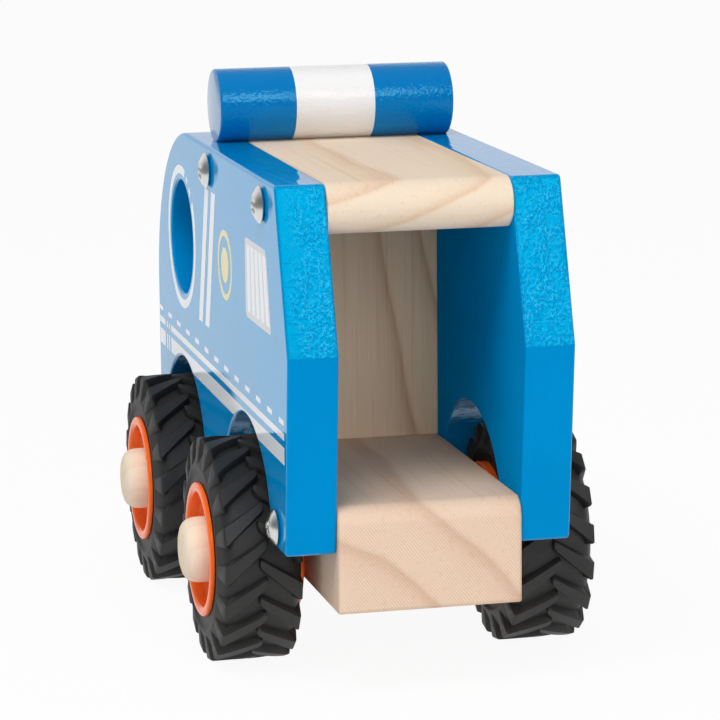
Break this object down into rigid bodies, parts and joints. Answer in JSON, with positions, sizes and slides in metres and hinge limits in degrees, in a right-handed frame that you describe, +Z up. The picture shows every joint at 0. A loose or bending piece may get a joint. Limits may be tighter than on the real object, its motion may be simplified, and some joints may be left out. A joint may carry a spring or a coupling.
{
  "type": "toy police car",
  "caption": "Wooden toy police van: painted side panels with a round window, open rear bay and cab, roof light bar and free-turning wheels with lugged rubber tyres.",
  "frame": {"origin": "on the ground, under the middle of the bounding box", "axes": "+X to the car's right, +Y to its front, +Z up"},
  "size_m": [0.1016, 0.161, 0.1371],
  "materials": {
    "blue_paint": "gloss blue paint on wood",
    "bar_paint": "gloss blue paint with a white middle band, on wood",
    "pine": "bare sanded wood",
    "dowel_wood": "bare dowel",
    "cap_wood": "bare turned wood",
    "screw_steel": "zinc-plated",
    "orange_plastic": "moulded",
    "tyre_rubber": "matt"
  },
  "bodies": {
    "car": {"left_side_panel": "blue_paint", "right_side_panel": "blue_paint", "roof_plank": "pine", "bulkhead_board": "pine", "chassis_block": "pine", "light_bar": "bar_paint", "light_bar_pins": "dowel_wood", "left_screws": "screw_steel", "right_screws": "screw_steel", "front_axle": "dowel_wood", "rear_axle": "dowel_wood", "front_left_cap": "cap_wood", "front_right_cap": "cap_wood", "rear_left_cap": "cap_wood", "rear_right_cap": "cap_wood"},
    "front_left_wheel": {"front_left_rim": "orange_plastic", "front_left_tyre": "tyre_rubber"},
    "front_right_wheel": {"front_right_rim": "orange_plastic", "front_right_tyre": "tyre_rubber"},
    "rear_left_wheel": {"rear_left_rim": "orange_plastic", "rear_left_tyre": "tyre_rubber"},
    "rear_right_wheel": {"rear_right_rim": "orange_plastic", "rear_right_tyre": "tyre_rubber"}
  },
  "joints": [
    {"name": "front_left_spin", "type": "hinge", "parent": "car", "child": "front_left_wheel", "pos_m": [-0.0345, 0.0474, 0.027], "axis": [1, 0, 0], "continuous": true},
    {"name": "front_right_spin", "type": "hinge", "parent": "car", "child": "front_right_wheel", "pos_m": [0.0345, 0.0474, 0.027], "axis": [1, 0, 0], "continuous": true},
    {"name": "rear_left_spin", "type": "hinge", "parent": "car", "child": "rear_left_wheel", "pos_m": [-0.0345, -0.0341, 0.027], "axis": [1, 0, 0], "continuous": true},
    {"name": "rear_right_spin", "type": "hinge", "parent": "car", "child": "rear_right_wheel", "pos_m": [0.0345, -0.0341, 0.027], "axis": [1, 0, 0], "continuous": true}
  ]
}
